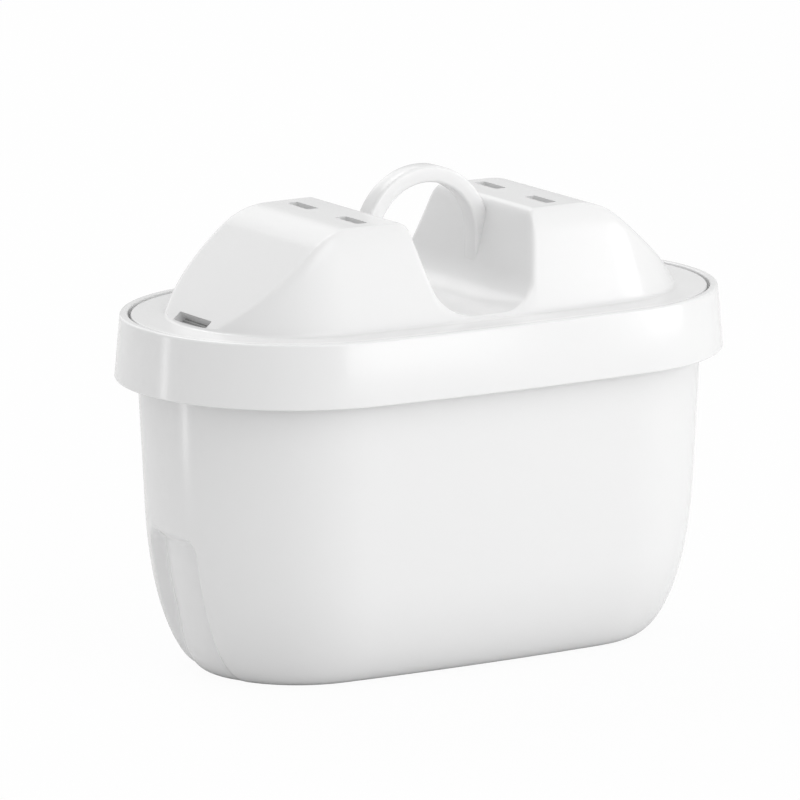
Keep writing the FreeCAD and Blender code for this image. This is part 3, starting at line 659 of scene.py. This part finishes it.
def make_lid():
    """Lid with its vents and windows cut, and the pull ring grown into the walls of the hollow."""
    lid = mesh_piece("lid_moulding", *make_lid_skin(), lid_plastic, "lid")
    middle = LID["plateau"] - LID["wall"] / 2
    size = (VENT["width"], VENT["length"], 3 * LID["wall"])
    cutters = [slot_cutter("vent", size, ROUND["vent"], (x * VENT["along"], y * VENT["across"], middle))
               for x in (-1, 1) for y in (-1, 1)]
    ramp, up, deep = math.radians(LID["ramp"]), WINDOW["height"] / 2, LID["wall"] / 2
    out = LID["ramp_span"] / 2 - up * math.cos(ramp) - deep * math.sin(ramp)
    height = LID["flange_top"] + up * math.sin(ramp) - deep * math.cos(ramp)
    size = (WINDOW["height"], WINDOW["width"], 2.5 * LID["wall"])
    cutters += [slot_cutter("window", size, ROUND["window"], (side * out, 0, height), -side * ramp)
                for side in (-1, 1)]
    cut_slots(lid, cutters)
    mesh_piece("pull_ring", *make_ring_skin(), lid_plastic, "lid")


for name, node in nodes.items():
    fillings = [filling for word, filling in FILLINGS.items() if word in name]
    node.data.materials.clear()
    node.data.materials.append(fillings[0] if fillings else cup_plastic)

make_cup()
make_lid()


# Floor

FLOOR_SIDE = 6.0
FLOOR_LEVEL = -0.00005
FLOOR_GLOW_SHARE = 0.95


def make_floor():
    """A pale floor a hair under the base, mostly white to the camera, with a faint contact shadow."""
    half = FLOOR_SIDE / 2
    corners = [(x, y, FLOOR_LEVEL) for x, y in ((-half, -half), (half, -half), (half, half), (-half, half))]
    mesh = bpy.data.meshes.new("floor")
    mesh.from_pydata(corners, [], [(0, 1, 2, 3)])
    floor = bpy.data.objects.new("floor", mesh)
    bpy.context.scene.collection.objects.link(floor)
    material, tree, shader = node_material("floor_paper", (0.8, 0.8, 0.8), 0.9, 0.0)
    path = tree.nodes.new("ShaderNodeLightPath")
    glow = tree.nodes.new("ShaderNodeEmission")
    feed(tree, glow.inputs["Strength"], 1.0)
    mix = tree.nodes.new("ShaderNodeMixShader")
    share = calculate(tree, "MULTIPLY", path.outputs["Is Camera Ray"], FLOOR_GLOW_SHARE)
    feed(tree, mix.inputs["Fac"], share)
    feed(tree, mix.inputs[1], shader.outputs["BSDF"])
    feed(tree, mix.inputs[2], glow.outputs["Emission"])
    feed(tree, tree.nodes["Material Output"].inputs["Surface"], mix.outputs["Shader"])
    mesh.materials.append(material)


make_floor()


# Light: turn and rise in degrees, distance, width and height in metres, power in watts

LAMPS = {
    "front": (16, 5, 1.2, 0.64, 0.9, 4.4),
    "right": (53, 5, 1.2, 0.64, 0.9, 4.8),
    "high_front": (0, 50, 1.2, 0.6, 0.6, 1.7),
    "high_left": (-100, 62, 1.2, 0.5, 0.5, 0.5),
    "high_back": (180, 52, 1.2, 0.6, 0.6, 2.9),
    "low_back": (168, 31, 1.2, 0.7, 0.35, 0.6),
    "back": (180, 10, 1.2, 0.5, 0.9, 0.8),
    "top": (0, 85, 1.2, 1.0, 1.0, 0.9),
    "strip": (-110, 0, 0.151, 0.012, 0.07, 0.008),
}
LAMPS_AIM = (0, 0, 0.04)
SURROUND = 0.65


def studio_direction(turn, rise):
    """A unit vector out from the object: turned from the front (-Y) towards +X, and raised, in degrees."""
    turn, rise = math.radians(turn), math.radians(rise)
    return Vector((math.sin(turn) * math.cos(rise), -math.cos(turn) * math.cos(rise), math.sin(rise)))


def area_lamp(name, turn, rise, distance, width, height, power):
    """A soft box that faces the middle of the object."""
    data = bpy.data.lights.new(name, "AREA")
    data.shape = "RECTANGLE"
    data.size, data.size_y = width, height
    data.energy = power
    lamp = bpy.data.objects.new(name, data)
    out = studio_direction(turn, rise)
    lamp.location = out * distance + Vector(LAMPS_AIM)
    lamp.rotation_euler = out.to_track_quat("Z", "Y").to_euler()
    lamp.visible_camera = False
    bpy.context.scene.collection.objects.link(lamp)


def make_world():
    """An even pale surround: white to the camera, softer as light."""
    world = bpy.data.worlds.new("studio")
    bpy.context.scene.world = world
    world.use_nodes = True
    tree = world.node_tree
    back = tree.nodes["Background"]
    path = tree.nodes.new("ShaderNodeLightPath")
    level = spread_over(tree, path.outputs["Is Camera Ray"], To_Min=SURROUND, To_Max=1.0)
    feed(tree, back.inputs["Strength"], level)
    feed(tree, back.inputs["Color"], (1.0, 1.0, 1.0, 1.0))


for name, values in LAMPS.items():
    area_lamp(name, *values)
make_world()


# Camera

FRAME_WIDTH = 800
VIEW = {"turn": 31.608, "rise": 11.668, "away": 1.3178, "pixels_per_metre": 6150.0,
        "target": (0, 0, 0.039202), "right": -0.003475, "up": 0.001814}


def make_camera():
    """The photograph's view: turned round from the front, a little above, from far off."""
    turn, rise, away = math.radians(VIEW["turn"]), math.radians(VIEW["rise"]), VIEW["away"]
    right = Vector((math.cos(turn), -math.sin(turn), 0))
    ahead = Vector((math.sin(turn) * math.cos(rise), math.cos(turn) * math.cos(rise), -math.sin(rise)))
    up = right.cross(ahead)
    data = bpy.data.cameras.new("camera")
    data.sensor_width = 36.0
    data.lens = VIEW["pixels_per_metre"] * away / FRAME_WIDTH * data.sensor_width
    data.clip_start, data.clip_end = 0.05, 50.0
    camera = bpy.data.objects.new("camera", data)
    place = Vector(VIEW["target"]) - ahead * away + right * VIEW["right"] + up * VIEW["up"]
    camera.matrix_world = Matrix((
        (right.x, up.x, -ahead.x, place.x), (right.y, up.y, -ahead.y, place.y),
        (right.z, up.z, -ahead.z, place.z), (0, 0, 0, 1)))
    bpy.context.scene.collection.objects.link(camera)
    bpy.context.scene.camera = camera


make_camera()

bpy.context.scene.view_settings.view_transform = "Standard"
